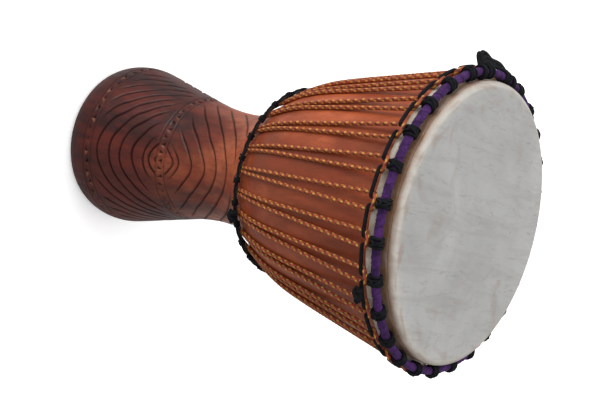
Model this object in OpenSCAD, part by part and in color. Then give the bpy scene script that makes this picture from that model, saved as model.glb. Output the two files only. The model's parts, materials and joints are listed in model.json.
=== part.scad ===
// Rope-laced goblet hand drum.
// Millimetres, +Z up, origin at the centre of the foot's flat end.
// Angles along an outline are headings: degrees outwards from straight up.

/* [Drum] */
// Height from the foot's flat end to the playing face
drum_h = 606; // [598:1:620]
// Widest radius of the foot
foot_r = 115.5; // [112:0.5:117]
// Smallest outer radius, between foot and bowl
waist_r = 77; // [76:0.5:78]
// Height of the waist
waist_z = 240; // [238:1:242]
// Radius of the bore through the waist
throat_r = 52; // [48:1:56]
// Thickness of the head's skin
skin_t = 1.2; // [1:0.1:1.4]

/* [Hoops] */
// Diameter of the steel rod in the crown hoop
rod_d = 6; // [5:0.5:6]
// Diameter of the cloth-covered crown hoop
crown_wrap_d = 10; // [9:0.5:10]
// Diameter of the steel rod in the waist hoop
waist_rod_d = 3; // [2.6:0.1:3.2]
// Diameter of the cloth-covered waist hoop
waist_wrap_d = 4.6; // [4.4:0.1:5]
// Diameter of the rod that the skin is folded around
flesh_rod_d = 5; // [4:0.5:5]

/* [Lacing] */
// Number of hitches round each hoop
hitches = 27; // [24:1:28]
// Diameter of the black line and knot cord
cord_d = 3.6; // [3:0.1:3.6]
// Diameter of the black cord in the crown's hitches
hitch_cord_d = 3; // [2.6:0.1:3]
// Diameter of the black cord in the waist's hitches
waist_cord_d = 2; // [1.8:0.1:2.2]
// Diameter of the lacing rope
rope_d = 4.8; // [4:0.1:4.8]
// Gap between the centres of two rope runs at the top
top_gap = 18.4; // [17:0.2:19]

/* [Carrying loop] */
// Distance between the loop's two eyes
loop_w = 74; // [70:1:76]
// Reach of the loop from its hinge line
loop_reach = 26; // [24:1:28]
// Diameter of the loop's doubled cord
loop_d = 7; // [6:0.5:7]
// Swing of the loop up from its rest position
loop_swing = 0; // [-6:1:120]

/* [Hidden] */
$fn = 64;
clear = 0.1;
pitch = 360 / hitches;
front = -90;
loop_rest = -20;

// Arc of an outline between two headings; a negative radius bends outwards.
function arc(centre, radius, from, to, steps = 10) =
    [for (i = [0:steps]) let (h = from + (to - from) * i / steps) centre + radius * [cos(h), -sin(h)]];
// Centre of the convex arc that carries on smoothly from a point at a heading.
function centre_after(point, radius, heading) = point - radius * [cos(heading), -sin(heading)];
function last(list) = list[len(list) - 1];
function reversed(list) = [for (i = [len(list) - 1:-1:0]) list[i]];
function beside(point, distance, heading) = point + distance * [cos(heading), -sin(heading)];
function height_r(point, heading, z) = point.x + (z - point.y) * tan(heading);

// Outer outline of the shell, from the foot up.
wood_top = drum_h - skin_t;
flank_h = -13.6;
flare_h = 35;
run_h = 12.5;
side_h = 4;
foot_round = 10;
foot_arc_r = 70;
foot_arc_c = [foot_r - foot_arc_r, 34];
foot_reach = foot_arc_r - foot_round;
foot_drop = foot_arc_c.y - foot_round;
foot_round_h = asin(foot_drop / foot_reach);
foot_round_c = [foot_arc_c.x + foot_reach * cos(foot_round_h), foot_round];
waist_low_arc_r = 330;
waist_up_arc_r = 130.8;
bowl_arc_r = 275;
side_arc_r = 1100;
edge_round = 6;
foot_pts = concat(arc(foot_round_c, foot_round, 90, foot_round_h, 6),
                  arc(foot_arc_c, foot_arc_r, foot_round_h, flank_h));
waist_pts = concat(arc([waist_r + waist_low_arc_r, waist_z], -waist_low_arc_r, flank_h, 0),
                   arc([waist_r + waist_up_arc_r, waist_z], -waist_up_arc_r, 0, flare_h));
bowl_c = centre_after(last(waist_pts), bowl_arc_r, flare_h);
bowl_pts = arc(bowl_c, bowl_arc_r, flare_h, run_h, 14);
side_pts = arc(centre_after(last(bowl_pts), side_arc_r, run_h), side_arc_r, run_h, side_h);
rim_r = height_r(last(side_pts), side_h, wood_top - edge_round);
edge_c = [rim_r - edge_round * cos(side_h), wood_top - edge_round];
outer_pts = concat(foot_pts, waist_pts, bowl_pts, side_pts, arc(edge_c, edge_round, side_h, -90, 8));

// Inner outline of the shell, from the foot up.
throat_z = 245;
foot_bore_r = 88;
throat_low_arc_r = 250;
throat_up_arc_r = 90;
inner_flare_h = 45;
inner_run_h = 10;
inner_bowl_arc_r = 175;
inner_side_arc_r = 900;
inner_edge_round = 8;
throat_pts = concat(arc([throat_r + throat_low_arc_r, throat_z], -throat_low_arc_r, -10, 0, 6),
                    arc([throat_r + throat_up_arc_r, throat_z], -throat_up_arc_r, 0, inner_flare_h));
inner_bowl_pts = arc(centre_after(last(throat_pts), inner_bowl_arc_r, inner_flare_h),
                     inner_bowl_arc_r, inner_flare_h, inner_run_h);
inner_side_pts = arc(centre_after(last(inner_bowl_pts), inner_side_arc_r, inner_run_h),
                     inner_side_arc_r, inner_run_h, side_h, 6);
inner_edge_c = [height_r(last(inner_side_pts), side_h, wood_top) + inner_edge_round,
                wood_top - inner_edge_round];
inner_pts = concat([[foot_bore_r, 0]], throat_pts, inner_bowl_pts, inner_side_pts,
                   arc(inner_edge_c, -inner_edge_round, side_h, 90, 6));

// Places of the hoops and cords, as [radius, height].
crown_at = [rim_r + 10.3, drum_h - 16.5];
flesh_at = [rim_r + 3.1, drum_h - 29.6];
flesh_fold_r = 4;
hitch_r = (crown_wrap_d + hitch_cord_d) / 2 + clear / 2;
rope_off = rope_d / 2 + clear;
run_d = rope_d - 0.5;
curve_d = run_d - 0.2;
rope_low_h = 29;
rope_h = 11.2;
rope_arc_r = bowl_arc_r + rope_off;
rope_low = beside(bowl_c, rope_arc_r, rope_low_h);
rope_bend = beside(bowl_c, rope_arc_r, rope_h);
rope_top_z = drum_h - 32;
rope_top = [height_r(rope_bend, rope_h, rope_top_z), rope_top_z];
run_len = (rope_top_z - rope_bend.y) / cos(rope_h);
low_gap = rope_d + clear;
rope_lean = asin((top_gap - low_gap) / 2 / (rope_top.y - rope_low.y));
top_arch_h = 45;
low_arch_h = 27;
line_at = [rope_top.x + 4.8, rope_top_z - 1.3];
leg_d = hitch_cord_d - 0.3;
waist_hoop_gap = (rope_d + waist_wrap_d) / 2 + 2 * clear;
waist_hoop_at = beside(rope_low, waist_hoop_gap, rope_low_h);
waist_hitch_r = (waist_wrap_d + waist_cord_d) / 2 + 1.5 * clear;

// Carrying loop: its hinge line is a chord of the crown hoop, midway between two hitches.
loop_at = front + 20.5 * pitch;
eye_cord_d = 3.2;
eye_r = (crown_wrap_d + eye_cord_d) / 2 + 0.65;
eye_bore_r = eye_r - eye_cord_d / 2 + 0.25;
loop_hinge = [sqrt(crown_at.x * crown_at.x - loop_w * loop_w / 4), crown_at.y];
loop_start = eye_r + 2.1;
loop_rise = loop_reach - loop_d / 2 - loop_start;
loop_arc_r = (loop_w * loop_w / 4 + loop_rise * loop_rise) / (2 * loop_rise);
loop_half = asin(loop_w / 2 / loop_arc_r);

// Ring of round section round the drum's axis.
module hoop(at, r) {
    rotate_extrude() translate(at) circle(r = r);
}

// Hollow ring: a covering of outer radius r over a rod of radius bore.
module sleeve(at, r, bore) {
    rotate_extrude() translate(at) difference() {
        circle(r = r);
        circle(r = bore);
    }
}

// Straight round run between two points.
module run(from, to, r) {
    along = to - from;
    length = norm(along);
    translate(from) rotate([0, acos(along.z / length), atan2(along.y, along.x)])
        cylinder(h = length, r = r);
}

// Half ring that joins two rope ends gap apart and leans to the given heading.
module arch(gap, heading, r, up = 1) {
    rotate([0, up > 0 ? heading : 180 + heading, 0]) rotate([90, 0, 90])
        rotate_extrude(angle = 180) translate([gap / 2, 0]) circle(r = r);
}

module around(count, first = 0) {
    for (i = [0:count - 1]) rotate([0, 0, front + first + i * 360 / count]) children();
}

module shell() {
    color([0.42, 0.19, 0.12]) rotate_extrude() polygon(concat(outer_pts, reversed(inner_pts)));
}

module skin_profile() {
    hem_z = flesh_at.y - 2;
    hem_at = [height_r(last(side_pts), side_h, hem_z), hem_z];
    polygon(concat([[0, wood_top + clear], [0, drum_h]],
                   arc(edge_c, edge_round + skin_t, -90, side_h, 8),
                   [beside(hem_at, skin_t, side_h), beside(hem_at, clear, side_h)],
                   arc(edge_c, edge_round + clear, side_h, -90, 8)));
}

// The head's skin is drawn over the bearing edge and folded round the flesh hoop.
module head_skin() {
    color([0.80, 0.78, 0.72]) {
        rotate_extrude() skin_profile();
        rotate_extrude() translate(flesh_at) difference() {
            circle(r = flesh_fold_r);
            circle(r = flesh_rod_d / 2 + clear);
            translate([-0.8, -flesh_fold_r - 1]) square([1.6, flesh_fold_r]);
        }
    }
}

module flesh_hoop() {
    color([0.45, 0.45, 0.47]) hoop(flesh_at, flesh_rod_d / 2);
}

module crown_hoop() {
    color([0.45, 0.45, 0.47]) hoop(crown_at, rod_d / 2);
}

module crown_hoop_wrap() {
    color([0.27, 0.13, 0.38]) sleeve(crown_at, crown_wrap_d / 2, rod_d / 2 + clear / 2);
}

// Turns of cord d thick, side by side round a hoop.
module hitch(at, r, d, turns) {
    for (i = [0:turns - 1]) translate([at.x, (i - (turns - 1) / 2) * (d + clear), at.y])
        rotate([90, 0, 0]) rotate_extrude() translate([r, 0]) circle(d = d);
}

// One hanging loop: a leg down from each of two neighbouring hitches and the line between them.
module hanging_loop() {
    turn = 3.3 / line_at.x * 180 / PI;
    corner = [line_at.x * cos(turn), line_at.x * sin(turn), line_at.y];
    foot = [crown_at.x, hitch_cord_d + clear, crown_at.y - hitch_r];
    for (end = [0, 1]) rotate([0, 0, end * pitch]) mirror([0, end, 0]) {
        run(foot, corner, leg_d / 2);
        translate(corner) sphere(d = cord_d + 0.5);
    }
    rotate([0, 0, turn]) rotate_extrude(angle = pitch - 2 * turn)
        translate(line_at) circle(d = cord_d);
}

module crown_cord() {
    color([0.07, 0.07, 0.08]) around(hitches) {
        hitch(crown_at, hitch_r, hitch_cord_d, 3);
        hanging_loop();
    }
}

// Barrel knot: turns of cord round a short core that lies along the hoop.
module barrel_knot(core_r, turns) {
    width = (turns - 1) * cord_d;
    rotate([90, 0, 0]) translate([0, 0, -width / 2]) {
        cylinder(h = width, r = core_r);
        for (i = [0:turns - 1]) translate([0, 0, i * cord_d])
            rotate_extrude() translate([core_r, 0]) circle(d = cord_d);
        for (end = [0, width]) translate([0, 0, end]) sphere(r = core_r);
    }
}

module crown_cord_knot() {
    core_r = 3.6;
    knot_r = line_at.x + core_r + cord_d + clear;
    color([0.05, 0.05, 0.06]) rotate([0, 0, front + 2.4 * pitch])
        translate([knot_r, 0, line_at.y + 1]) barrel_knot(core_r, 5);
}

module waist_hoop() {
    color([0.45, 0.45, 0.47]) hoop(waist_hoop_at, waist_rod_d / 2);
}

module waist_hoop_wrap() {
    color([0.08, 0.08, 0.09]) sleeve(waist_hoop_at, waist_wrap_d / 2, waist_rod_d / 2 + clear / 2);
}

module waist_cord() {
    color([0.07, 0.07, 0.08]) around(hitches, pitch / 2)
        hitch(waist_hoop_at, waist_hitch_r, waist_cord_d, 3);
}

module waist_cord_knot() {
    core_r = 4.2;
    knot_r = waist_hoop_at.x + core_r + (waist_wrap_d + cord_d) / 2 + clear;
    color([0.05, 0.05, 0.06]) rotate([0, 0, front + 2 * pitch])
        translate([knot_r, 0, waist_hoop_at.y + 3]) barrel_knot(core_r, 4);
}

// One rope run from the waist hoop to the crown: along the bowl, then straight.
module rope_run() {
    translate([0, low_gap / 2, rope_low.y]) rotate([-rope_lean, 0, 0]) translate([0, 0, -rope_low.y]) {
        translate([rope_low.x, 0, rope_low.y]) sphere(d = rope_d);
        translate([bowl_c.x, 0, bowl_c.y]) rotate([90, 0, 0]) rotate([0, 0, -rope_low_h])
            rotate_extrude(angle = rope_low_h - rope_h + 0.5) translate([rope_arc_r, 0]) circle(d = curve_d);
        translate([rope_bend.x, 0, rope_bend.y]) rotate([0, rope_h, 0]) cylinder(h = run_len, d = run_d);
        translate([rope_top.x, 0, rope_top.y]) sphere(d = rope_d);
    }
}

// One continuous rope: two runs to each hitch, an arch over it, and an arch on to the next pair.
module lacing_rope() {
    low_reach = rope_low.x * cos(pitch / 2) + low_gap / 2 * sin(pitch / 2);
    low_span = 2 * (rope_low.x * sin(pitch / 2) - low_gap / 2 * cos(pitch / 2));
    color([0.80, 0.42, 0.16]) around(hitches) {
        rope_run();
        mirror([0, 1, 0]) rope_run();
        translate([rope_top.x, 0, rope_top.y]) arch(top_gap, top_arch_h, run_d / 2);
        rotate([0, 0, pitch / 2]) translate([low_reach, 0, rope_low.y])
            arch(low_span, low_arch_h, run_d / 2, -1);
    }
}

// Loop of doubled cord that stands off the crown hoop on two eyes.
module carry_loop() {
    color([0.06, 0.06, 0.07]) rotate([0, 0, loop_at])
        translate([loop_hinge.x, 0, loop_hinge.y]) rotate([0, -loop_rest - loop_swing, 0]) {
            for (side = [-1, 1]) translate([0, side * loop_w / 2, 0]) {
                rotate([90, 0, 0]) rotate_extrude() intersection() {
                    translate([eye_r, 0]) circle(d = eye_cord_d);
                    translate([eye_bore_r, -eye_cord_d]) square(2 * eye_cord_d);
                }
                translate([loop_start, 0, 0]) sphere(d = loop_d + 0.6);
            }
            translate([loop_start + loop_rise - loop_arc_r, 0, 0]) rotate([0, 0, -loop_half])
                rotate_extrude(angle = 2 * loop_half) translate([loop_arc_r, 0]) circle(d = loop_d);
        }
}

shell();
head_skin();
flesh_hoop();
crown_hoop();
crown_hoop_wrap();
crown_cord();
crown_cord_knot();
waist_hoop();
waist_hoop_wrap();
waist_cord();
waist_cord_knot();
lacing_rope();
carry_loop();
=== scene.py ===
"""Looks of a rope-laced goblet drum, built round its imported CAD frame.

Shapes are worked out in millimetres, in the frame's axes, and turned into metres when a mesh is made.
A place on the drum is often (radius, height), or (outwards, sideways, upwards) at an azimuth.
"""
import json
import math

import bpy
import numpy as np
from mathutils import Matrix, Vector
from mathutils.bvhtree import BVHTree


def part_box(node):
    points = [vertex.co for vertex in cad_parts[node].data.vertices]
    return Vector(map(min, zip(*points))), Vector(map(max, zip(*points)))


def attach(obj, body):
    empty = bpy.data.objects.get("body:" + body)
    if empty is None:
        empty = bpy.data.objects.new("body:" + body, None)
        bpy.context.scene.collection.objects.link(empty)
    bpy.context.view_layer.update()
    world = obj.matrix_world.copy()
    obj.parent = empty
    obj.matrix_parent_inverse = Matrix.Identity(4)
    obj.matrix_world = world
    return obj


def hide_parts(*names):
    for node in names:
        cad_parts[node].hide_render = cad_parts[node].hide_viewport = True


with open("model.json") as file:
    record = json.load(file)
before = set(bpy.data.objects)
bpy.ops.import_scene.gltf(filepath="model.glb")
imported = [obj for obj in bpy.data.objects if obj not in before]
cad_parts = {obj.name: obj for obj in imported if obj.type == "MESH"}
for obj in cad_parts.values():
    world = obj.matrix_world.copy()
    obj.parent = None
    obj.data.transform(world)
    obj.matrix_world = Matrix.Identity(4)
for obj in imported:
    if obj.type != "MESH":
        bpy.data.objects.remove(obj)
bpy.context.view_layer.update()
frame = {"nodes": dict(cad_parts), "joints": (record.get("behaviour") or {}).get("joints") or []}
chance = np.random.default_rng(11)

# Hitches are counted from the front, which faces -Y.
HITCHES = 27
PITCH = 2 * math.pi / HITCHES
FRONT = -math.pi / 2

# The two runs of rope at a hitch are closest at the waist and widest at the crown.
ROPE_R = 2.4
ROPE_GAP_LOW = 4.9
ROPE_GAP_TOP = 18.4
HITCH_CORD_R = 1.5
WAIST_CORD_R = 1.0
KNOT_CORD_R = 2.0
LOOP_CORD_R = 2.0


def ring_of(node):
    """Radius, height and section radius of a CAD node that is a ring round the drum."""
    low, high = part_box(node)
    section = (high.z - low.z) * 500
    return high.x * 1000 - section, (high.z + low.z) * 500, section


CROWN_R, CROWN_Z, CROWN_T = ring_of("crown_hoop_wrap")
WAIST_R, WAIST_Z, WAIST_T = ring_of("waist_hoop_wrap")
FLESH_R, FLESH_Z = ring_of("flesh_hoop")[:2]
TOP_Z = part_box("head_skin")[1].z * 1000

# Where the rope's runs end and where the hanging line lies, as (radius, height), and how the arches lean.
LOW_HEADING = math.radians(29)
LOW_GAP = WAIST_T + ROPE_R + 0.2
ROPE_LOW = (WAIST_R - LOW_GAP * math.cos(LOW_HEADING), WAIST_Z + LOW_GAP * math.sin(LOW_HEADING))
ROPE_TOP = (CROWN_R - 0.9, CROWN_Z - 15.5)
LINE_AT = (CROWN_R + 4.1, CROWN_Z - 16.2)
ARCH_LEAN = math.radians(45)
LOW_ARCH_LEAN = math.radians(18)
LOW_ARCH_DROP = 1.2


# ---------------------------------------------------------------- mesh tools

def grid(rows, cols, close_rows=False):
    """Four-sided faces over rows of points, each row closed on itself, and each corner's (row, column)."""
    last = rows if close_rows else rows - 1
    row = np.repeat(np.arange(last), cols)
    col = np.tile(np.arange(cols), last)
    steps = ((0, 0), (0, 1), (1, 1), (1, 0))
    corners = np.stack([np.stack([row + down, col + along], -1) for down, along in steps], 1)
    faces = (corners[..., 0] % rows) * cols + corners[..., 1] % cols
    return faces, corners


def make_piece(name, points, faces, body, look, stands_for=(), uv=None, marks=None):
    """A smooth piece that rides on a body and stands for CAD nodes; marks are values kept per point."""
    mesh = bpy.data.meshes.new(name)
    mesh.from_pydata((np.asarray(points) / 1000).tolist(), [], [list(f) for f in faces])
    if uv is not None:
        mesh.uv_layers.new(name="UVMap").data.foreach_set("uv", np.asarray(uv, np.float32).ravel())
    for key, values in (marks or {}).items():
        mesh.attributes.new(key, "FLOAT", "POINT").data.foreach_set("value", np.asarray(values, np.float32))
    mesh.shade_smooth()
    mesh.materials.append(look)
    piece = bpy.data.objects.new(name, mesh)
    bpy.context.scene.collection.objects.link(piece)
    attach(piece, body)
    if stands_for:
        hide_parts(*stands_for)
    return piece


def unit(vectors):
    """Vectors scaled to length 1."""
    return vectors / np.linalg.norm(vectors, axis=-1, keepdims=True)


def turn(points, azimuth):
    """Turns points round the drum's axis."""
    c, s = math.cos(azimuth), math.sin(azimuth)
    return np.asarray(points, float) @ np.array([[c, s, 0], [-s, c, 0], [0, 0, 1]])


def resample(path, step, closed=False):
    """Points spaced evenly along a path."""
    path = np.asarray(path, float)
    if closed:
        path = np.vstack([path, path[:1]])
    along = np.concatenate([[0], np.cumsum(np.linalg.norm(np.diff(path, axis=0), axis=1))])
    count = max(4, int(round(along[-1] / step)))
    at = np.linspace(0, along[-1], count + 1)
    if closed:
        at = at[:-1]
    return np.stack([np.interp(at, along, path[:, i]) for i in range(3)], -1)


def soften(path, rounds, closed=False):
    """Rounds off a path's corners."""
    path = np.array(path, float)
    for _ in range(rounds):
        before, after = np.roll(path, 1, 0), np.roll(path, -1, 0)
        eased = (before + 2 * path + after) / 4
        if not closed:
            eased[0], eased[-1] = path[0], path[-1]
        path = eased
    return path


class Tube:
    """Collects tubes swept along paths into one mesh; their UV map runs round and along the strands."""

    def __init__(self):
        self.points, self.faces, self.uv, self.count = [], [], [], 0

    def sweep(self, path, radius, sides, side_way, closed=False, braid=0, pitch=5.2, strands=4, phase=0.0):
        """Sweeps a round section along path; side_way is a direction that starts the section.
        braid is the height of the strands that cross over and under each other."""
        path = np.asarray(path, float)
        if closed:
            ahead = np.roll(path, -1, 0) - np.roll(path, 1, 0)
        else:
            ahead = np.gradient(path, axis=0)
        ahead = unit(ahead)
        side_way = np.broadcast_to(side_way, path.shape)
        first = unit(side_way - (side_way * ahead).sum(1, keepdims=True) * ahead)
        second = np.cross(ahead, first)
        steps = np.linalg.norm(np.diff(path, axis=0), axis=1)
        along = np.concatenate([[0], np.cumsum(steps)])
        length = along[-1] + (np.linalg.norm(path[0] - path[-1]) if closed else 0)
        turns = length / pitch
        if closed:
            turns = 2 * round(turns / 2)
        v = along / length * turns + phase
        u = np.arange(sides) / sides * strands
        lift = 0
        if braid:
            right = v[:, None] + u[None, :]
            left = v[:, None] - u[None, :]
            over = (np.floor(right) + np.floor(left)) % 2
            across = np.where(over == 0, right, left)
            lift = braid * (2 * np.abs(np.sin(math.pi * across)) ** 0.7 - 1)
        size = np.broadcast_to(np.asarray(radius, float).reshape(-1, 1), (len(path), sides)) + lift
        angle = 2 * math.pi * np.arange(sides) / sides
        first_part = np.cos(angle)[None, :, None] * first[:, None, :]
        ring = first_part + np.sin(angle)[None, :, None] * second[:, None, :]
        points = path[:, None, :] + ring * size[..., None]
        faces, corners = grid(len(path), sides, closed)
        v_all = np.append(v, phase + turns)
        uv = np.stack([corners[..., 1] / sides * strands, v_all[corners[..., 0]]], -1)
        self.points.append(points.reshape(-1, 3))
        self.faces += (faces + self.count).tolist()
        self.uv += uv.reshape(-1, 2).tolist()
        if not closed:
            for row, flip in ((0, True), (len(path) - 1, False)):
                cap = [self.count + row * sides + j for j in range(sides)]
                self.faces.append(cap[::-1] if flip else cap)
                self.uv += [[0.5, float(v[row])]] * sides
        self.count += len(path) * sides
        return self

    def piece(self, name, body, slot, look, stands_for=()):
        return make_piece(name, np.vstack(self.points), self.faces, body, look, stands_for, self.uv)


def blunt(count, tip=5):
    """Share of full radius along an open tube with rounded ends."""
    share = np.ones(count)
    for i in range(tip):
        share[i] = share[-1 - i] = max(0.08, math.sqrt(1 - (1 - i / tip) ** 2))
    return share


def waves(a, b, terms, seed):
    """Smooth random field over two angles, between about -1 and 1; whole numbers of waves round a."""
    mix = np.random.default_rng(seed)
    field = np.zeros(np.broadcast(a, b).shape)
    for _ in range(terms):
        field = field + np.sin(mix.integers(1, 9) * a + mix.integers(-6, 7) * b + mix.uniform(0, 6.28))
    return field / math.sqrt(terms) / 1.4


# ---------------------------------------------------------------- materials

class Look:
    """A procedural material, built node by node."""

    def __init__(self, name):
        self.material = bpy.data.materials.new(name)
        self.material.use_nodes = True
        self.tree = self.material.node_tree
        self.surface = self.tree.nodes["Principled BSDF"]
        self.place = self.add("ShaderNodeTexCoord")
        self.at = self.place.outputs["Object"]

    def add(self, kind, inputs=None, **settings):
        node = self.tree.nodes.new(kind)
        for key, value in settings.items():
            setattr(node, key, value)
        for key, value in (inputs or {}).items():
            self.put(node.inputs[key], value)
        return node

    def put(self, socket, value):
        if isinstance(value, bpy.types.NodeSocket):
            self.tree.links.new(value, socket)
        else:
            socket.default_value = value

    def math(self, operation, a, b=0.0, clamp=False):
        return self.add("ShaderNodeMath", {0: a, 1: b}, operation=operation, use_clamp=clamp).outputs[0]

    def stretch(self, x, y, z, turned=(0, 0, 0)):
        inputs = {"Vector": self.at, "Scale": (x, y, z), "Rotation": turned}
        return self.add("ShaderNodeMapping", inputs).outputs[0]

    def noise(self, vector, scale, detail=4.0, rough=0.5, bend=0.0):
        return self.add("ShaderNodeTexNoise", {"Vector": vector, "Scale": scale, "Detail": detail,
                                               "Roughness": rough, "Distortion": bend}).outputs[0]

    def cells(self, vector, scale):
        return self.add("ShaderNodeTexVoronoi", {"Vector": vector, "Scale": scale}).outputs[0]

    def threads(self, way):
        """Stripes across the UV map in one direction."""
        inputs = {"Vector": self.place.outputs["UV"], "Scale": 6.0, "Distortion": 1.0, "Detail": 2.0}
        return self.add("ShaderNodeTexWave", inputs, bands_direction=way).outputs[1]

    def span(self, value, low, high, to_low=0.0, to_high=1.0):
        return self.add("ShaderNodeMapRange", {0: value, 1: low, 2: high, 3: to_low, 4: to_high}).outputs[0]

    def rgba(self, colour):
        return colour if isinstance(colour, bpy.types.NodeSocket) else (*colour, 1)

    def blend(self, share, a, b):
        node = self.add("ShaderNodeMix", data_type="RGBA")
        self.put(node.inputs[0], share)
        self.put(node.inputs[6], self.rgba(a))
        self.put(node.inputs[7], self.rgba(b))
        return node.outputs[2]

    def tint(self, colour, share, weight, target):
        """Moves a colour towards a target by share times weight."""
        return self.blend(self.math("MULTIPLY", share, weight), colour, target)

    def mark(self, name):
        return self.add("ShaderNodeAttribute", attribute_name=name).outputs["Fac"]

    def bump(self, height, distance, strength=1.0, over=None):
        inputs = {"Height": height, "Distance": distance, "Strength": strength}
        if over is not None:
            inputs["Normal"] = over
        return self.add("ShaderNodeBump", inputs).outputs[0]

    def finish(self, colour, rough, normal=None, **more):
        self.put(self.surface.inputs["Base Color"], self.rgba(colour))
        self.put(self.surface.inputs["Roughness"], rough)
        if normal is not None:
            self.put(self.surface.inputs["Normal"], normal)
        for key, value in more.items():
            self.put(self.surface.inputs[key.replace("_", " ")], value)
        return self.material


def wood_look():
    """Stained hardwood: grain along the drum, darkest on the foot, red-brown above, carved lines darkened
    with painted shade.
    """
    look = Look("stained_wood")
    along = look.stretch(1, 1, 0.07)
    streak = look.noise(along, 160, 5, 0.6, 0.3)
    fibre = look.noise(along, 700, 3, 0.6)
    patch = look.noise(look.stretch(1, 1, 0.45), 13, 4, 0.6, 0.5)
    mottle = look.noise(look.stretch(1, 1, 0.3), 60, 4, 0.6)
    pore = look.span(look.noise(look.stretch(1, 1, 0.05), 1300, 2, 0.5), 0.63, 0.72)
    height = look.add("ShaderNodeSeparateXYZ", {0: look.at}).outputs["Z"]
    uneven = look.math("ADD", height, look.span(patch, 0.3, 0.7, -0.035, 0.035))
    waist = look.span(uneven, 0.15, 0.25)
    bowl = look.span(height, 0.27, 0.33)
    dark = look.blend(waist, (0.024, 0.0050, 0.0042), (0.125, 0.026, 0.012))
    light = look.blend(waist, (0.088, 0.0130, 0.0075), (0.37, 0.098, 0.041))
    dark = look.blend(bowl, dark, (0.20, 0.040, 0.013))
    light = look.blend(bowl, light, (0.43, 0.098, 0.034))
    colour = look.blend(look.span(patch, 0.40, 0.61), dark, light)
    colour = look.tint(colour, look.span(streak, 0.44, 0.62), 0.5, dark)
    red = look.blend(waist, (0.13, 0.014, 0.008), (0.30, 0.045, 0.018))
    colour = look.tint(colour, look.span(mottle, 0.42, 0.68), 0.40, red)
    colour = look.tint(colour, pore, 0.5, (0.03, 0.008, 0.006))
    # Painted shade: the cut lines darkened almost to black, most where they are deepest.
    colour = look.tint(colour, look.mark("painted_groove_shade"), 0.92, (0.008, 0.003, 0.003))
    colour = look.tint(colour, look.mark("chip"), 0.75, (0.24, 0.085, 0.040))
    rough = look.span(look.math("ADD", streak, mottle), 0.7, 1.3, 0.30, 0.50)
    normal = look.bump(fibre, 0.0003, 0.35, look.bump(streak, 0.0006, 0.4))
    uncut = look.span(look.mark("painted_groove_shade"), 0, 1, 1.0, 0.15)
    gloss = look.math("MULTIPLY", look.span(waist, 0, 1, 0.28, 0.24), uncut)
    return look.finish(colour, rough, normal, Specular_IOR_Level=gloss)


def skin_look():
    """Shaved goatskin: pale grey with short hair marks and stains, a cream fold, a painted highlight along
    its rim and a brown worn collar.
    """
    look = Look("goatskin")
    cloud = look.noise(look.at, 9, 5, 0.6, 0.6)
    streak = look.noise(look.stretch(1.0, 0.16, 1, (0, 0, 0.5)), 60, 5, 0.65, 0.5)
    hair = look.span(look.noise(look.stretch(1.0, 0.2, 1, (0, 0, -0.7)), 260, 3, 0.6, 0.8), 0.58, 0.70)
    stain = look.span(look.noise(look.at, 17, 3, 0.5, 1.2), 0.58, 0.72)
    fine = look.noise(look.at, 900, 3, 0.6)
    pit = look.span(look.cells(look.at, 420), 0.0, 0.22, 1.0, 0.0)
    colour = look.blend(look.span(cloud, 0.35, 0.68), (0.308, 0.305, 0.299), (0.395, 0.393, 0.389))
    colour = look.tint(colour, look.span(streak, 0.48, 0.68), 0.45, (0.26, 0.25, 0.232))
    colour = look.tint(colour, hair, 0.40, (0.21, 0.19, 0.165))
    colour = look.tint(colour, stain, 0.40, (0.25, 0.205, 0.155))
    colour = look.tint(colour, pit, 0.25, (0.22, 0.19, 0.16))
    cream = look.blend(look.span(streak, 0.4, 0.6), (0.66, 0.60, 0.51), (0.45, 0.37, 0.285))
    # The pale mark is the cream fold, and along the rim a painted highlight.
    colour = look.blend(look.mark("pale"), colour, cream)
    blotch = look.span(look.noise(look.at, 120, 4, 0.65), 0.30, 0.62, 0.75, 1.0)
    colour = look.blend(look.math("MULTIPLY", look.mark("worn"), blotch), colour, (0.22, 0.103, 0.040))
    normal = look.bump(fine, 0.0003, 0.4, look.bump(streak, 0.0008, 0.3))
    return look.finish(colour, look.span(cloud, 0.3, 0.7, 0.5, 0.66), normal, Subsurface_Weight=0.05,
                       Subsurface_Radius=(0.004, 0.002, 0.001))


def cloth_look(name, low, high, fold):
    """Woven strip: crossing threads, worn tops, and folds darkened with painted shade."""
    look = Look(name)
    patch = look.noise(look.at, 90, 4, 0.6, 0.4)
    weave = look.math("MULTIPLY", look.threads("X"), look.threads("Y"))
    colour = look.blend(look.span(patch, 0.35, 0.65), low, high)
    # Painted shade: darkened in the creases and under the edge of each overlapping turn.
    colour = look.tint(colour, look.mark("fold"), 0.8, fold)
    colour = look.tint(colour, weave, 0.25, high)
    normal = look.bump(weave, 0.0003, 0.6, look.bump(patch, 0.001, 0.5))
    return look.finish(colour, 0.8, normal, Specular_IOR_Level=0.18, Sheen_Weight=0.03)


def cord_look(name, low, high, grey):
    """Black braided cord with a little grey dust in fine specks."""
    look = Look(name)
    patch = look.noise(look.at, 120, 4, 0.6)
    fuzz = look.noise(look.at, 2200, 2, 0.6)
    colour = look.blend(look.span(patch, 0.35, 0.65), low, high)
    colour = look.tint(colour, look.span(fuzz, 0.5, 0.75), 0.4, grey)
    return look.finish(colour, 0.8, look.bump(fuzz, 0.0004, 0.6), Specular_IOR_Level=0.15)


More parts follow.
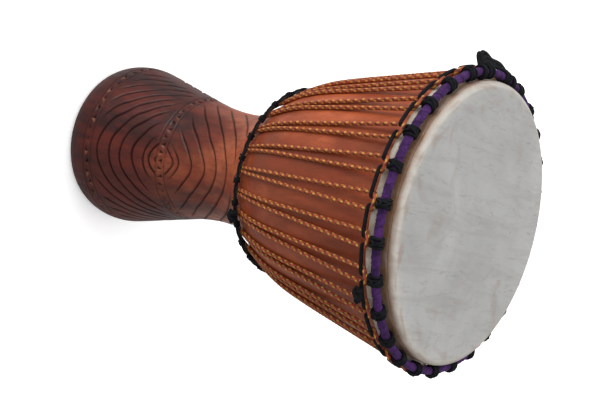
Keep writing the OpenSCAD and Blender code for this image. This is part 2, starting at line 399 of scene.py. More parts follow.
def rope_look():
    """Eight-strand braid: yellow and red-orange strands one way, orange and maroon the other, with painted
    shade along each strand's edges.
    """
    look = Look("orange_rope")
    uv = look.add("ShaderNodeSeparateXYZ", {0: look.place.outputs["UV"]})
    u, v = uv.outputs["X"], uv.outputs["Y"]
    right = look.math("ADD", v, u)
    left = look.math("SUBTRACT", v, u)
    right_cell, left_cell = look.math("FLOOR", right), look.math("FLOOR", left)
    over = look.math("PINGPONG", look.math("ADD", right_cell, left_cell), 1.0)
    right_even = look.math("PINGPONG", right_cell, 1.0)
    left_even = look.math("PINGPONG", left_cell, 1.0)
    right_colour = look.blend(right_even, (0.62, 0.31, 0.05), (0.36, 0.048, 0.020))
    left_colour = look.blend(left_even, (0.38, 0.085, 0.024), (0.105, 0.016, 0.010))
    colour = look.blend(over, right_colour, left_colour)
    cell = look.add("ShaderNodeCombineXYZ", {0: right_cell, 1: left_cell}).outputs[0]
    worn = look.add("ShaderNodeTexWhiteNoise", {"Vector": cell}, noise_dimensions="3D").outputs[0]
    colour = look.blend(look.span(worn, 0.3, 1.0, 0.0, 0.4), colour, (0.20, 0.045, 0.018))
    right_across = look.math("MULTIPLY", look.math("FRACT", right), look.math("SUBTRACT", 1.0, over))
    across = look.math("ADD", right_across, look.math("MULTIPLY", look.math("FRACT", left), over))
    # Painted shade: each strand darkened towards its edges, where it meets the next.
    edge = look.math("ABSOLUTE", look.math("SUBTRACT", across, 0.5))
    colour = look.tint(colour, look.span(edge, 0.32, 0.5), 0.65, (0.06, 0.012, 0.008))
    patch = look.noise(look.at, 45, 4, 0.6)
    colour = look.tint(colour, look.span(patch, 0.45, 0.75), 0.35, (0.22, 0.045, 0.02))
    fuzz = look.noise(look.at, 2400, 2, 0.6)
    return look.finish(colour, 0.6, look.bump(fuzz, 0.0003, 0.5), Specular_IOR_Level=0.3)


def steel_look():
    """Drawn steel rod with a little surface rust."""
    look = Look("steel_rod")
    rust = look.span(look.noise(look.at, 140, 5, 0.65), 0.52, 0.68)
    scratch = look.noise(look.at, 900, 3, 0.6)
    colour = look.blend(look.math("MULTIPLY", rust, 0.7), (0.42, 0.42, 0.43), (0.16, 0.06, 0.03))
    return look.finish(colour, look.span(rust, 0, 1, 0.32, 0.8), look.bump(scratch, 0.0002, 0.4),
                       Metallic=look.span(rust, 0, 1, 1.0, 0.3))


# ---------------------------------------------------------------- wooden shell

def shell_profile():
    """Heights and radii of the shell's outer side, smoothed between its rounded ends, and of its bore."""
    tree = BVHTree.FromObject(frame["nodes"]["shell"], bpy.context.evaluated_depsgraph_get())

    def reach(height, outside):
        """Largest radius found by rays sent in from outside, or out from the axis."""
        start = Vector((0, 0, height / 1000))
        far = 0.0
        for k in range(24):
            turned = 0.02 + k * 0.2618
            way = Vector((math.cos(turned), math.sin(turned), 0))
            hit = tree.ray_cast(start + way * 0.4, -way)[0] if outside else tree.ray_cast(start, way)[0]
            if hit is not None:
                far = max(far, 1000 * math.hypot(hit.x, hit.y))
        return far

    wood_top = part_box("shell")[1].z * 1000
    foot_round, edge_round, carved_to, carved_step = 10, 6, 306, 1.12
    round_foot = foot_round * (1 - np.cos(np.radians(np.linspace(12, 90, 8))))
    carved = np.arange(foot_round + 1.1, carved_to, carved_step)
    plain = np.linspace(carved_to + 2, wood_top - edge_round - 1, 56)
    edge = wood_top - edge_round * (1 - np.sin(np.radians(np.linspace(8, 84, 8))))
    heights = np.concatenate([[0.02], round_foot, carved, plain, edge])
    outer = np.array([reach(z, True) for z in heights])
    half_width = 14
    weight = np.exp(-0.5 * (np.arange(-half_width, half_width + 1) / 6.0) ** 2)
    even = np.arange(4.0, wood_top - 3)
    padded = np.pad(np.interp(even, heights, outer), half_width, "edge")
    smooth = np.convolve(padded, weight / weight.sum(), "valid")
    trust = np.clip((heights - 18) / 14, 0, 1) * np.clip((wood_top - 24 - heights) / 14, 0, 1)
    outer = outer + trust * (np.interp(heights, even, smooth) - outer)
    inner_heights = np.concatenate([[0.02], np.linspace(4, wood_top - 3, 80), [wood_top - 0.3]])
    inner = np.array([reach(z, False) for z in inner_heights])
    heights[0] = inner_heights[0] = 0
    return heights, outer, inner_heights, inner


def fade(value, low, high):
    """Rises smoothly from 0 at low to 1 at high."""
    t = np.clip((value - low) / (high - low), 0, 1)
    return t * t * (3 - 2 * t)


# The arcs nest round an azimuth, in degrees, and again half a turn away; the bands are level.
MOTIF_AT = -80.0
RIM_BAND_Z = 45.0
MID_BAND_Z = 163.0
BAND_HALF = 6.5
LOWER_CUT = 2.3
UPPER_CUT = 2.1
CUT_DEPTH = 1.8


def stroke(away, reach, half):
    """Section of a gouge cut: full at the line, gone half its width away, narrower towards its ends."""
    width = half * (0.35 + 0.65 * reach)
    return np.where(reach > 0, np.sqrt(reach) * np.clip(1 - away / width, 0, 1), 0)


def away_from_arc(off, height, tip, arms, steep, bend, per_degree):
    """Distance from an arc with its tip at a height; arms is 1 if its arms rise and -1 if they fall."""
    root = np.sqrt((steep * off) ** 2 + bend ** 2)
    slope = steep ** 2 * off / root / per_degree
    return np.abs(height - (tip + arms * (root - bend))) / np.sqrt(1 + slope ** 2)


def lower_arcs(off, height, apart, wobble, per_degree):
    """Depth of the nested arcs between the two bands; the last two run close up to the middle band."""
    depth = 0
    above_rim = fade(height, RIM_BAND_Z + 10, RIM_BAND_Z + 20)
    for k in range(-6, 8):
        close = k > 5
        bend = 85 - 12 * max(k, 0) + 4 * max(-k, 0)
        steep = 2.2 - 0.14 * max(k, 0)
        tip = 43.5 + 18.4 * min(k, 5) + 9.6 * max(k - 5, 0) + wobble
        away = away_from_arc(off, height, tip, 1, steep, bend, per_degree)
        gap = 3 if close else 10 + 7 * np.sin(1.9 * k + 0.3 * np.sign(off)) ** 2
        reach = fade(MID_BAND_Z - gap - height, 0, 7 if close else 16) * above_rim * apart
        depth = np.maximum(depth, stroke(away, reach, LOWER_CUT))
    return depth


def upper_arcs(off, height, apart, wobble, per_degree):
    """Depth of the nested arcs above the middle band; the first runs close down to it."""
    depth = 0
    for k in range(-1, 9):
        close = k < 0
        tip = 192.0 + (22.6 if k > 0 else 9.0) * k + 0.5 * wobble
        away = away_from_arc(off, height, tip, -1, 1.5, 12 + 5 * k, per_degree)
        gap = 2 if close else 9 + 7 * np.sin(1.3 * k + 0.4 * np.sign(off)) ** 2
        start = MID_BAND_Z + gap
        reach = fade(height, start, start + (8 if close else 16)) * apart
        depth = np.maximum(depth, 0.85 * stroke(away, reach, UPPER_CUT))
    return depth


def bands(azimuth, height, wobble):
    """Depth and pale chip of the two bands: an edge line on each side of a row of three-sided chip cuts."""
    depth, chip = 0, 0
    for middle, period in ((RIM_BAND_Z, 8.0), (MID_BAND_Z, 7.5)):
        across = (height - middle + 0.5 * wobble) / BAND_HALF
        depth = np.maximum(depth, 0.5 * np.clip(1 - np.abs(np.abs(across) - 1) * BAND_HALF / 1.1, 0, 1))
        cell = np.degrees(azimuth) / period
        spot = 2 * (cell - np.floor(cell)) - 1
        upward = np.where(np.floor(cell) % 2 == 0, across, -across)
        inside = np.minimum(upward + 0.62, 0.62 - upward - 1.15 * np.abs(spot + 0.2))
        sharp = np.clip(0.78 + 0.42 * waves(azimuth * 2, middle, 5, 21), 0.38, 1)
        depth = np.maximum(depth, 0.95 * np.clip(inside * 2.6, 0, 1) * sharp)
        uneven = 0.5 + 0.5 * np.sin(np.floor(cell) * 2.4 + middle)
        chip = np.maximum(chip, fade(inside, 0.03, 0.2) * (spot > -0.2) * (0.25 + 0.75 * uneven) * sharp)
    return depth, chip


def carving(azimuth, height, radius):
    """Depth, painted shade of the cut lines and pale chip of the foot's carving: nested arcs below and above
    the middle band.
    """
    off = (np.degrees(azimuth) - MOTIF_AT + 90) % 180 - 90
    apart = fade(90 - np.abs(off), 2.5, 12)
    per_degree = radius * math.pi / 180
    wobble = 1.6 * waves(azimuth, height / 25, 5, 3)
    below = lower_arcs(off, height, apart, wobble, per_degree)
    above = upper_arcs(off, height, apart, wobble, per_degree)
    level, chip = bands(azimuth, height, wobble)
    depth = np.maximum(np.maximum(below, above), level)
    # The cut lines are darkened by their depth, a painted shade; the pale chips are left out.
    dark = np.clip(depth * 1.25, 0, 1) * (1 - chip)
    return depth, dark, chip


def build_shell(look):
    """The wooden shell with its foot carved; gives back its outer profile for what lies on it."""
    heights, outer, inner_heights, inner = shell_profile()
    cols = 528
    azimuth = np.linspace(-math.pi, math.pi, cols, endpoint=False)[None, :]
    z = heights[:, None]
    r = outer[:, None]
    depth, dark, chip = carving(azimuth, z, r)
    on_foot = fade(z, 12, 22) * (1 - fade(z, 294, 304))
    depth, dark, chip = depth * on_foot, dark * on_foot, chip * on_foot
    tooled = 0.16 * waves(azimuth * 2, z / 24, 6, 5) * on_foot - 0.15 * on_foot
    outside = r - CUT_DEPTH * depth + tooled
    bore, bore_z = inner[::-1, None], inner_heights[::-1, None]
    rough_cut = (bore_z > 1) & (bore_z < TOP_Z - 8)
    inside = bore + rough_cut * (0.4 * waves(azimuth * 2, bore_z / 14, 7, 6) - 0.4)
    radius = np.vstack([outside, inside])
    level = np.concatenate([heights, inner_heights[::-1]])[:, None] + 0 * azimuth
    points = np.stack([radius * np.cos(azimuth), radius * np.sin(azimuth), level], -1).reshape(-1, 3)
    faces, _ = grid(len(radius), cols, close_rows=True)
    blank = np.zeros_like(inside)
    # The cut lines carry painted shade; the chips carry the pale of fresh-cut wood.
    marks = {"painted_groove_shade": np.vstack([dark, blank]).ravel(), "chip": np.vstack([chip, blank]).ravel()}
    make_piece("shell_carved", points, faces, "drum", look, ["shell"], None, marks)
    return heights, outer


# ---------------------------------------------------------------- goatskin head

EDGE_ROUND = 7.2
FOLD_R = 4.15
SKIN = 1.1
WORN_AT = -80.0


def head_profile(heights, outer):
    """The skin's outline as (radius, height), the radius where its face turns over, and the rows where
    its face, edge, neck and bead end."""
    edge_z = TOP_Z - EDGE_ROUND
    edge_r = float(outer[-9]) - 6.0

    def side(z):
        return np.interp(z, heights, outer)

    face = [(r, TOP_Z) for r in np.linspace(0.6, edge_r - 1, 90)]
    around = np.radians(np.linspace(0, 86, 16))
    over = [(edge_r + EDGE_ROUND * math.sin(t), edge_z + EDGE_ROUND * math.cos(t)) for t in around]
    dips = ((0.4, 0), (0.9, 0.3), (1.3, 0.6), (1.7, 0.3), (2.2, 0))
    crease = [(side(edge_z - drop) + 1.25 - dip, edge_z - drop) for drop, dip in dips]
    neck = [(side(z) + 1.25, z) for z in np.linspace(edge_z - 3, FLESH_Z + 4.4, 10)]
    bend = np.radians(np.linspace(115, -115, 22))
    bead = [(FLESH_R + FOLD_R * math.cos(t), FLESH_Z + FOLD_R * math.sin(t)) for t in bend]
    hem = [(side(FLESH_Z - 5.6) + 0.9, FLESH_Z - 5.6), (side(FLESH_Z - 5.8) + 0.15, FLESH_Z - 5.8)]
    under = [(side(z) + 0.12, z) for z in np.linspace(FLESH_Z - 4.6, edge_z - 1, 6)]
    inner = EDGE_ROUND - SKIN
    back = [(edge_r + inner * math.sin(t), edge_z + inner * math.cos(t)) for t in around[::-3]]
    below = [(r, TOP_Z - SKIN) for r in np.linspace(edge_r - 2, 0.6, 20)]
    ends = np.cumsum([len(face), len(over) + len(crease), len(neck), len(bead)])
    return np.array(face + over + crease + neck + bead + hem + under + back + below), edge_r, ends


def head_marks(azimuth, row, radius, edge_r, ends):
    """How worn and how pale the skin is: a brown collar and smudged edge, browner on one side of the drum,
    and a cream fold, with the rim made paler by a painted highlight."""
    face_end, edge_end, neck_end, _ = ends
    near = 0.55 + 0.45 * np.cos(azimuth - math.radians(WORN_AT))
    collar = fade(row, face_end + 4, edge_end - 1) * (1 - fade(row, neck_end - 3, neck_end + 3))
    brown = collar * (1.05 + 0.25 * waves(azimuth * 4, row / 5, 6, 10)) * (0.2 + 0.8 * near)
    line = np.exp(-((row - edge_end + 3) / 0.8) ** 2)
    inward = fade(radius, edge_r - 26, edge_r - 4) * (row < edge_end - 3)
    smudge = inward * near * fade(waves(azimuth * 3, row / 9, 6, 12), 0.1, 1.0)
    worn = np.clip(np.maximum(np.maximum(brown, 0.95 * line), 0.4 * smudge), 0, 1)
    # Painted highlight: the rounded rim made paler, strongest on the same side as the brown collar.
    painted_rim_highlight = fade(row, face_end - 6, face_end + 4) * (row < edge_end - 3)
    pale = fade(row, neck_end - 2, neck_end + 3) + (0.1 + 0.35 * near) * painted_rim_highlight
    return {"worn": worn.ravel(), "pale": np.clip(pale, 0, 1).ravel()}


def build_head(look, heights, outer):
    """Skin over the bearing edge, down the side and folded round the flesh hoop."""
    profile, edge_r, ends = head_profile(heights, outer)
    face_end, edge_end, _, bead_end = ends
    cols = 540
    azimuth = np.linspace(-math.pi, math.pi, cols, endpoint=False)[None, :]
    row = np.arange(len(profile))[:, None]
    radius, level = profile[:, :1], profile[:, 1:]
    on_collar = fade(row, edge_end - 1, edge_end + 4) * (row < bead_end - 3)
    pucker = 0.4 * np.sin(HITCHES * (azimuth - FRONT)) + 0.4 * waves(azimuth * 9, row / 4, 6, 8)
    r = radius + on_collar * pucker
    on_face = (row < face_end) & (radius > 3)
    z = level + on_face * (0.18 * waves(azimuth, radius / 30, 6, 9) - 0.15)
    points = np.stack([r * np.cos(azimuth), r * np.sin(azimuth), z + 0 * azimuth], -1).reshape(-1, 3)
    faces, _ = grid(len(profile), cols)
    faces = faces.tolist()
    last = (len(profile) - 1) * cols
    faces.append(list(range(cols))[::-1])
    faces.append(list(range(last, last + cols)))
    marks = head_marks(azimuth, row, radius, edge_r, ends)
    make_piece("head_goatskin", points, faces, "drum", look, ["head_skin"], None, marks)


# ---------------------------------------------------------------- cloth-covered hoops

def build_wrapped_hoop(name, node, look, turns, seed, lump):
    """A hoop bound with a strip of cloth: overlapping turns and soft creases."""
    radius, height, section = ring_of(node)
    steps, sides = 1300, 22
    azimuth = np.linspace(-math.pi, math.pi, steps, endpoint=False)[:, None]
    angle = 2 * math.pi * np.arange(sides)[None, :] / sides
    spiral = (azimuth * turns + angle) / (2 * math.pi)
    lap = spiral - np.floor(spiral)
    crease = waves(azimuth * 40, angle, 8, seed)
    swell = waves(azimuth * 9, angle, 6, seed + 1)
    size = section - 0.35 + lump * (0.7 * lap + 0.45 * crease + 0.4 * swell)
    r = radius + size * np.cos(angle)
    points = np.stack([r * np.cos(azimuth), r * np.sin(azimuth), height + size * np.sin(angle)], -1)
    faces, corners = grid(steps, sides, close_rows=True)
    uv = np.stack([corners[..., 1] / sides * 6, corners[..., 0] / steps * 200], -1)
    # fold is where shade is painted: the edge of each turn's overlap and the sunken creases.
    fold = np.clip(fade(lap, 0.86, 0.99) + fade(-crease, 0.45, 1.1) * 0.7, 0, 1)
    make_piece(name, points.reshape(-1, 3), faces, "drum", look, [node], uv.reshape(-1, 2),
               {"fold": fold.ravel()})


# ---------------------------------------------------------------- lacing rope

def taut_run(heights, outer):
    """(radius, height) of a rope run: along the bowl, then straight to the crown."""
    level = np.linspace(ROPE_LOW[1], ROPE_TOP[1] - 20, 120)
    wall = np.interp(level, heights, outer)
    lean = np.arctan(np.gradient(wall, level))
    gap = ROPE_R + 0.15
    curve = np.stack([wall + gap * np.cos(lean), level - gap * np.sin(lean)], -1)
    curve = curve[curve[:, 1] > ROPE_LOW[1]]
    slope = (ROPE_TOP[0] - curve[:, 0]) / (ROPE_TOP[1] - curve[:, 1])
    leave = int(np.argmin(slope))
    straight = np.linspace(0, 1, 60)[1:, None]
    line = curve[leave] + straight * (np.array(ROPE_TOP) - curve[leave])
    return np.vstack([[ROPE_LOW], curve[:leave + 1], line])


def build_rope(look, heights, outer):
    """One endless braided rope: up to each hitch, over it, back down and on to the next pair."""
    run = taut_run(heights, outer)
    share = (run[:, 1] - ROPE_LOW[1]) / (ROPE_TOP[1] - ROPE_LOW[1])
    side = (ROPE_GAP_LOW + share * (ROPE_GAP_TOP - ROPE_GAP_LOW)) / 2
    path = []
    sweep = np.linspace(0.08, math.pi - 0.08, 22)
    for k in range(HITCHES):
        at = FRONT + k * PITCH
        jitter = chance.normal(0, 0.5, 2)
        bow = np.sin(math.pi * share)
        up = np.stack([run[:, 0], -side + jitter[0] * bow, run[:, 1]], -1)
        half = ROPE_GAP_TOP / 2
        arch = np.stack([ROPE_TOP[0] + half * np.sin(sweep) * math.sin(ARCH_LEAN), -half * np.cos(sweep),
                         ROPE_TOP[1] + half * np.sin(sweep) * math.cos(ARCH_LEAN)], -1)
        down = np.stack([run[:, 0], side + jitter[1] * bow, run[:, 1]], -1)[::-1]
        path += [turn(up, at), turn(arch, at), turn(down, at)]
        start = turn([[ROPE_LOW[0], ROPE_GAP_LOW / 2, ROPE_LOW[1]]], at)[0]
        end = turn([[ROPE_LOW[0], -ROPE_GAP_LOW / 2, ROPE_LOW[1]]], at + PITCH)[0]
        middle = (start + end) / 2
        reach = np.linalg.norm(end - start) / 2
        outwards = turn([[1, 0, 0]], at + PITCH / 2)[0]
        dip = -outwards * math.sin(LOW_ARCH_LEAN) - np.array([0, 0, math.cos(LOW_ARCH_LEAN)])
        drop = LOW_ARCH_DROP * reach * dip
        low = [middle + (start - middle) * math.cos(t) + drop * math.sin(t) for t in sweep]
        path.append(np.array(low))
    path = soften(resample(np.vstack(path), 0.9, closed=True), 6, closed=True)
    path = resample(path, 0.95, closed=True)
    radial = path * np.array([1, 1, 0])
    tube = Tube().sweep(path, ROPE_R - 0.05, 12, unit(radial), closed=True, braid=0.17, pitch=5.8)
    tube.piece("lacing_rope_braided", "drum", "orange_rope", look, ["lacing_rope"])


# ---------------------------------------------------------------- black cord

def coil(tube, ring, at, turns, wrap_r, cord_r, spread, seed, crossing=True):
    """Turns of cord round a hoop at an azimuth, each a little uneven, and one that crosses over them."""
    mix = np.random.default_rng(seed)
    sideways = turn([[0, 1, 0]], at)[0]
    angle = np.linspace(0, 2 * math.pi, 44, endpoint=False)
    for i in range(turns):
        offset = (i - (turns - 1) / 2) * spread
        swell = wrap_r + cord_r * (mix.uniform(-0.1, 0.35) + 0.2 * np.sin(angle * 2 + mix.uniform(0, 6.28)))
        slide = offset + cord_r * 0.6 * np.sin(angle + mix.uniform(0, 6.28))
        loop = np.stack([ring[0] + swell * np.cos(angle), slide, ring[1] + swell * np.sin(angle)], -1)
        thick = cord_r * mix.uniform(0.88, 1.1)
        tube.sweep(turn(loop, at), thick, 8, sideways, closed=True, braid=0.09 * cord_r, pitch=2.6)
    if crossing:
        across = np.linspace(0, 1, 30)
        start = mix.uniform(-1.0, -0.3)
        lean = start + 2.6 * across
        lift = wrap_r + cord_r * (0.2 + 0.9 * np.sin(math.pi * across))
        way = mix.choice([-1, 1])
        slide = way * (across - 0.5) * spread * (turns - 0.6)
        path = np.stack([ring[0] + lift * np.cos(lean), slide, ring[1] + lift * np.sin(lean)], -1)
        tube.sweep(turn(path, at), 0.85 * cord_r * blunt(30, 4), 8, sideways, braid=0.09 * cord_r, pitch=2.6)


def build_crown_cord(look):
    """A hitch round the crown hoop over each rope arch, with one line of cord that hangs from them all."""
    tube = Tube()
    line = []
    ring = (CROWN_R, CROWN_Z)
    half_gap = 3.6
    turned = half_gap / LINE_AT[0]
    for k in range(HITCHES):
        at = FRONT + k * PITCH
        coil(tube, ring, at, 4, CROWN_T + HITCH_CORD_R - 0.2, HITCH_CORD_R, 3.1, 100 + k)
        rise = np.array([[CROWN_R + 2.2, -3.4, CROWN_Z - CROWN_T - 3.2],
                         [CROWN_R + CROWN_T + 2.8, -3.4, CROWN_Z - 4.2],
                         [CROWN_R + CROWN_T + 3.6, -1.6, CROWN_Z + 1.2]])
        fall = rise[::-1] * np.array([1, -1, 1])
        line.append(turn([[LINE_AT[0], -half_gap, LINE_AT[1]]], at))
        line.append(turn(np.vstack([rise, fall]), at))
        line.append(turn([[LINE_AT[0], half_gap, LINE_AT[1]]], at))
        for share in (0.2, 0.4, 0.6, 0.8):
            line.append(turn([[LINE_AT[0], 0, LINE_AT[1]]], at + turned + (PITCH - 2 * turned) * share))
    path = soften(resample(np.vstack(line), 1.0, closed=True), 5, closed=True)
    path = resample(path, 1.1, closed=True)
    across = np.arctan2(path[:, 1], path[:, 0])
    beside_hitch = np.abs((across - FRONT + PITCH / 2) % PITCH - PITCH / 2) * LINE_AT[0]
    thick = 1.55 + 0.65 * fade(beside_hitch, 3.5, 7.5)
    tube.sweep(path, thick, 10, unit(path * np.array([1, 1, 0])), closed=True, braid=0.14, pitch=2.8)
    tube.piece("crown_cord_braided", "drum", "black_cord", look, ["crown_cord"])


def build_waist_cord(look):
    """Hitches round the waist hoop, half a pitch from the crown's, and the cord that joins them."""
    tube = Tube()
    ring = (WAIST_R, WAIST_Z)
    line = []
    for k in range(HITCHES):
        at = FRONT + (k + 0.5) * PITCH
        coil(tube, ring, at, 3, WAIST_T + WAIST_CORD_R - 0.1, WAIST_CORD_R, 2.3, 300 + k, crossing=False)
        for share, lift in ((-0.25, 0.8), (0.0, 2.3), (0.25, 0.8), (0.5, 0.6)):
            angle = math.radians(30 - 60 * share)
            r = WAIST_R + (WAIST_T + lift) * math.cos(angle)
            line.append(turn([[r, 0, WAIST_Z + (WAIST_T + lift) * math.sin(angle)]], at + share * PITCH))
    path = soften(resample(np.vstack(line), 1.0, closed=True), 6, closed=True)
    path = resample(path, 1.1, closed=True)
    thick = WAIST_CORD_R - 0.05
    tube.sweep(path, thick, 8, np.array([0.0, 0.0, 1.0]), closed=True, braid=0.12, pitch=2.6)
    tube.piece("waist_cord_braided", "drum", "black_cord", look, ["waist_cord"])


def build_knot(name, node, look, core, turns, tails):
    """A barrel knot: uneven turns of cord round a core, with short cut tails."""
    low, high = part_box(node)
    middle = np.array((low + high) / 2) * 1000
    at = math.atan2(middle[1], middle[0])
    out = math.hypot(middle[0], middle[1])
    tube = Tube()
    angle = np.linspace(0, 2 * math.pi * turns, 44 * turns)
    swell = core + 0.7 * np.sin(angle * 0.37 + 1) + 0.4 * np.sin(angle * 1.7)
    width = 3.5 * (turns - 1)
    slide = np.linspace(-width / 2, width / 2, len(angle)) + 0.8 * np.sin(angle * 0.9)
    path = np.stack([out + swell * np.cos(angle), slide, middle[2] + swell * np.sin(angle)], -1)
    thick = KNOT_CORD_R * blunt(len(path))
    tube.sweep(turn(path, at), thick, 8, turn([[0, 1, 0]], at)[0], braid=0.12, pitch=2.6)
    inner = np.linspace(-width / 2 - 2.5, width / 2 + 2.5, 24)
    stem = np.stack([np.full(24, out), inner, np.full(24, middle[2])], -1)
    tube.sweep(turn(stem, at), (core + 0.2) * blunt(24, 7), 14, turn([[1, 0, 0]], at)[0])
    lean = np.linspace(-0.5, 0.9, 20)
    bar = np.stack([out + (core + 2.2) * np.cos(lean), np.linspace(-width / 2, width / 2, 20),
                    middle[2] + (core + 2.2) * np.sin(lean)], -1)
    tube.sweep(turn(bar, at), KNOT_CORD_R * blunt(20), 8, turn([[0, 0, 1]], at)[0], braid=0.12, pitch=2.6)
    for sign, drop in tails:
        bend = np.linspace(0, 1, 18)
        aside = sign * (width / 2 + 4.0 * bend)
        tail = np.stack([out + 1.5 * bend, aside, middle[2] - drop * bend ** 1.5], -1)
        tube.sweep(turn(tail, at), 1.9 * blunt(18, 4), 8, turn([[1, 0, 0]], at)[0], braid=0.12, pitch=2.6)
    tube.piece(name, "drum", "black_cord", look, [node])


def build_carry_loop(look):
    """Carrying loop of two cords laid together and four inside them, on eyes that turn on the crown hoop."""
    joint = [j for j in frame["joints"] if j["name"] == "carry_loop_swing"][0]
    hinge = np.array(joint["pos_m"]) * 1000
    sideways = np.array(joint["axis"], float)
    out = unit(hinge * np.array([1, 1, 0]))
    droop = math.radians(20)
    forth = out * math.cos(droop) - np.array([0, 0, 1]) * math.sin(droop)
    up = np.cross(sideways, forth)
    half = 37.0
    eye = CROWN_T + 2.25
    tube = Tube()
    outer_line = [(-half, eye + 1), (-36.5, 18), (-33.5, 24.5), (-27, 24.5), (0, 19.5), (20, 15.4),
                  (32, 11.5), (half, eye + 1)]
    inner_lines = [[(-half + 2, eye + 3), (-32.5, 17), (-28, 20), (-18, 19.2), (6, 17), (16, 15.2)],
                   [(-half + 3, eye + 2), (-31, 12.5), (-26, 14.6), (-14, 14.8), (0, 15)],
                   [(-33, 11), (-24, 11.8), (-10, 12.4), (6, 12.2), (20, 12.4), (30, 10)],
                   [(-31, 19.5), (-26, 18), (-14, 17.4), (0, 16.4), (14, 13.6), (26, 12.4), (34, 9.5)]]

    def laid(line):
        """A smooth path in the loop's own plane, from points given as (sideways, outwards)."""
        flat = np.array([(spread, reach, 0) for spread, reach in line], float)
        flat = soften(resample(flat, 1.0), 14)
        return hinge + flat[:, 1:2] * forth + flat[:, :1] * sideways

    middle = laid(outer_line)
    across = np.cross(unit(np.gradient(middle, axis=0)), up)
    for start in (0.0, math.pi):
        twist = start + np.linspace(0, 2.5 * math.pi, len(middle))
        strand = middle + 1.75 * (np.cos(twist)[:, None] * across + np.sin(twist)[:, None] * up)
        tube.sweep(resample(strand, 0.9), LOOP_CORD_R, 10, up, braid=0.14, pitch=2.8)
    for k, line in enumerate(inner_lines):
        strand = laid(line) + (1.6 - 0.4 * k) * up
        tube.sweep(strand, LOOP_CORD_R * blunt(len(strand), 4), 10, up, braid=0.14, pitch=2.8)
    angle = np.linspace(0, 2 * math.pi, 50, endpoint=False)
    for side in (-1, 1):
        for shift in (-1.7, 1.7):
            size = eye + 0.25 * np.sin(2 * angle + shift)
            ring = (hinge + (side * half + shift) * sideways + (size * np.cos(angle))[:, None] * forth
                    + (size * np.sin(angle))[:, None] * up)
            tube.sweep(ring, 1.75, 9, sideways, closed=True, braid=0.12, pitch=2.6)
    tube.piece("carry_loop_cord", "carry_loop", "black_cord", look, ["carry_loop"])


# ---------------------------------------------------------------- stage, light and camera

def build_floor():
    """Plain pale floor that the camera sees brighter than the drum does."""
    look = Look("floor_pale")
    seen = look.add("ShaderNodeLightPath").outputs["Is Camera Ray"]
    grain = look.noise(look.at, 300, 3, 0.5)
    floor_mesh = bpy.data.meshes.new("floor")
    size = 12.0
    corners = [(-size, -size, 0), (size, -size, 0), (size, size, 0), (-size, size, 0)]
    floor_mesh.from_pydata(corners, [], [(0, 1, 2, 3)])
    pale = look.blend(seen, (0.5, 0.5, 0.5), (0.93, 0.93, 0.93))
    glow = look.math("MULTIPLY", seen, 0.35)
    floor_mesh.materials.append(look.finish(pale, 0.9, look.bump(grain, 0.0005, 0.2),
                                            Emission_Color=(1, 1, 1, 1), Emission_Strength=glow))
    floor = bpy.data.objects.new("floor", floor_mesh)
    bpy.context.scene.collection.objects.link(floor)


def build_sky():
    """Soft white light all round, strongest from the drum's front left."""
    bright, dim = 0.78, 0.33
    world = bpy.data.worlds.new("studio")
    bpy.context.scene.world = world
    world.use_nodes = True
    sky = world.node_tree
    way = sky.nodes.new("ShaderNodeVectorMath")
    way.operation = "DOT_PRODUCT"
    way.inputs[1].default_value = (0.47, 0.883, 0)
    sky.links.new(sky.nodes.new("ShaderNodeTexCoord").outputs["Generated"], way.inputs[0])
    shade = sky.nodes.new("ShaderNodeMapRange")
    for socket, value in ((1, -1.0), (2, 1.0), (3, bright), (4, dim)):
        shade.inputs[socket].default_value = value
    sky.links.new(way.outputs["Value"], shade.inputs[0])
    sky.nodes["Background"].inputs[0].default_value = (1, 1, 1, 1)
    sky.links.new(shade.outputs[0], sky.nodes["Background"].inputs[1])


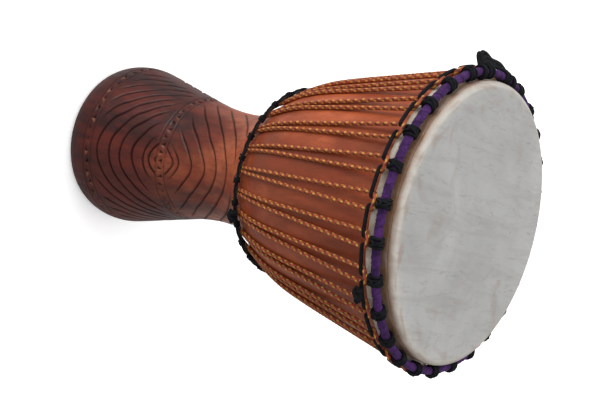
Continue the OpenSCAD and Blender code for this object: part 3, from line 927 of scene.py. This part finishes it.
def build_lights():
    """A wide overhead light, and soft lamps at one side, low at the foot and behind."""
    sun = bpy.data.lights.new("overhead", "SUN")
    sun.energy = 1.7
    sun.angle = 1.4
    sunlight = bpy.data.objects.new("overhead", sun)
    sunlight.rotation_euler = (0.0, -0.35, 0.0)
    bpy.context.scene.collection.objects.link(sunlight)
    aim = Vector((0, 0, 0.35))
    lamps = (("key", (-1.6, -1.1, 0.6), 15, 1.0), ("low", (-0.8, -0.95, 0.12), 3.5, 0.5),
             ("back", (-0.6, 1.6, 1.0), 6, 1.5))
    for name, place, power, size in lamps:
        lamp = bpy.data.lights.new(name, "AREA")
        lamp.energy = power
        lamp.size = size
        light = bpy.data.objects.new(name, lamp)
        light.location = place
        light.rotation_euler = (aim - Vector(place)).to_track_quat("-Z", "Y").to_euler()
        bpy.context.scene.collection.objects.link(light)


def build_camera():
    """A camera that looks down on the drum, rolled so that the drum's top is to the right."""
    eye = Vector((0, -1.12259, 1.19262))
    right = Vector((-0.23674, 0.58259, 0.77753))
    down = Vector((0.97144, 0.12859, 0.19943))
    ahead = Vector((0.01621, 0.80253, -0.59639))
    view = bpy.data.cameras.new("camera")
    view.lens = 62.61
    view.sensor_width = 36
    view.clip_end = 50
    camera = bpy.data.objects.new("camera", view)
    turned = Matrix((right, -down, -ahead)).transposed().to_4x4()
    camera.matrix_world = Matrix.Translation(eye) @ turned
    bpy.context.scene.collection.objects.link(camera)
    bpy.context.scene.camera = camera
    bpy.context.scene.view_settings.view_transform = "Standard"


wood = wood_look()
goatskin = skin_look()
# The last colour given to each cloth is its painted shade in the folds.
purple = cloth_look("purple_cloth", (0.026, 0.006, 0.050), (0.072, 0.018, 0.125), (0.007, 0.002, 0.015))
black_cloth = cloth_look("black_cloth", (0.010, 0.009, 0.010), (0.03, 0.028, 0.032), (0.004, 0.004, 0.004))
black_cord = cord_look("black_cord", (0.002, 0.002, 0.003), (0.006, 0.007, 0.009), (0.020, 0.022, 0.027))
orange_rope = rope_look()
steel = steel_look()

shell_heights, shell_outer = build_shell(wood)
build_head(goatskin, shell_heights, shell_outer)
build_wrapped_hoop("crown_hoop_cloth", "crown_hoop_wrap", purple, 75, 20, 0.8)
build_wrapped_hoop("waist_hoop_cloth", "waist_hoop_wrap", black_cloth, 52, 30, 0.6)
build_rope(orange_rope, shell_heights, shell_outer)
build_crown_cord(black_cord)
build_waist_cord(black_cord)
build_knot("crown_knot", "crown_cord_knot", black_cord, 3.5, 5, ((1, 4), (-1, 2)))
build_knot("waist_knot", "waist_cord_knot", black_cord, 4.1, 4, ((1, 4), (-1, 3)))
build_carry_loop(black_cord)
for rod_node in ("flesh_hoop", "crown_hoop", "waist_hoop"):
    rod = frame["nodes"][rod_node]
    rod.data.materials.clear()
    rod.data.materials.append(steel)

build_floor()
build_sky()
build_lights()
build_camera()
